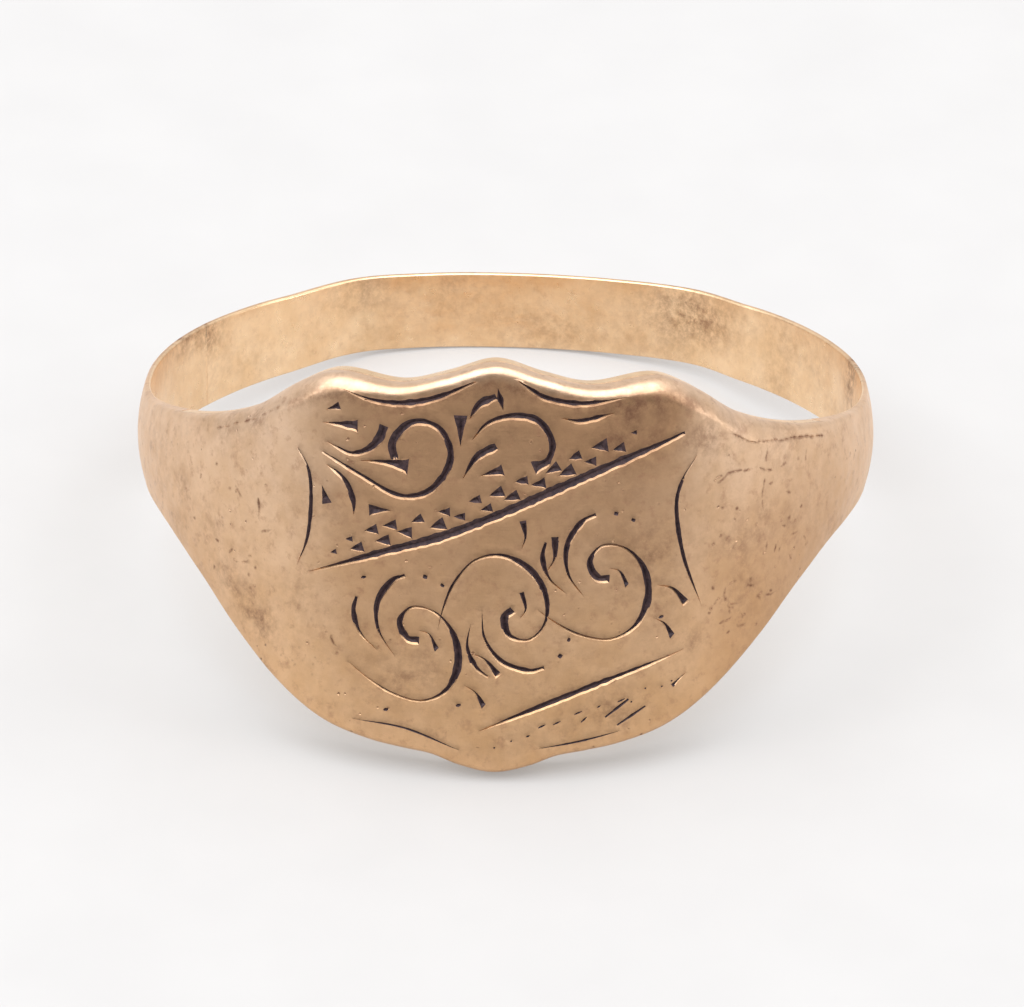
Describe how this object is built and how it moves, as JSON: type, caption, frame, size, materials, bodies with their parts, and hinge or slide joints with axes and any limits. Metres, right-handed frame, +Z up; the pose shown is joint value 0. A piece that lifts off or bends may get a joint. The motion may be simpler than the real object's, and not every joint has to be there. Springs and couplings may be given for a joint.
{
  "type": "signet ring",
  "caption": "Shield-faced signet ring: engraved die-struck head lined against the finger, tapering shoulders and a plain thin band, resting tipped on its shield.",
  "frame": {"origin": "centre of the finger hole, on its axis, level with the middle of the plain band's width", "axes": "+Z up with the ring lying as it rests, on the shield's tip and the lower edge of the back; the engraved head faces -Y; +X is to the right seen from the front; the finger axis leans 14.4 degrees from +Z towards +Y"},
  "size_m": [0.0188, 0.0203, 0.0103],
  "materials": {
    "rose_gold": "worn satin, engraved",
    "rose_gold_inside": "worn polish",
    "rose_gold_band": "worn polish",
    "solder": "dull, pitted"
  },
  "bodies": {
    "root": {"front_shell": "rose_gold", "liner": "rose_gold_inside", "liner_solder": "solder", "back_shank": "rose_gold_band", "left_joint_solder": "solder", "right_joint_solder": "solder"}
  },
  "joints": []
}
